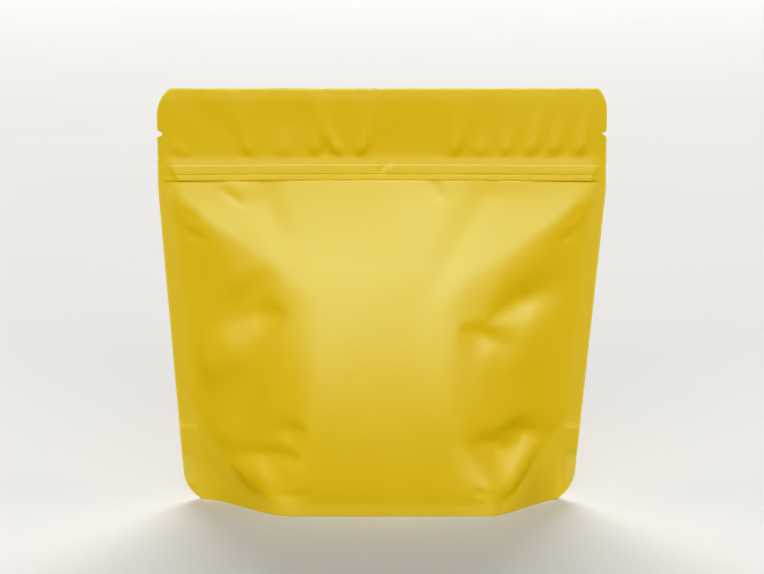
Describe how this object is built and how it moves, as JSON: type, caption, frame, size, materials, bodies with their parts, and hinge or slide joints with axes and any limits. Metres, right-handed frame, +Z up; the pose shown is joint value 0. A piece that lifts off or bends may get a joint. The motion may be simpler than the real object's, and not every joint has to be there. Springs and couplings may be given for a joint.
{
  "type": "stand-up pouch",
  "caption": "Filled matte film stand-up pouch with flat sealed side fins, a press-to-close band under a top flap, tear notches and a gusseted base that opens out so that it stands.",
  "frame": {"origin": "centre of the bounding box on the floor plane that the pouch stands on", "axes": "+X across the width to the right, +Y from the front panel to the back panel, +Z up; the front faces -Y"},
  "size_m": [0.2, 0.0646, 0.188],
  "materials": {
    "film": "matte soft-touch yellow film with a broad silky sheen"
  },
  "bodies": {
    "root": {"pouch": "film"}
  },
  "joints": []
}
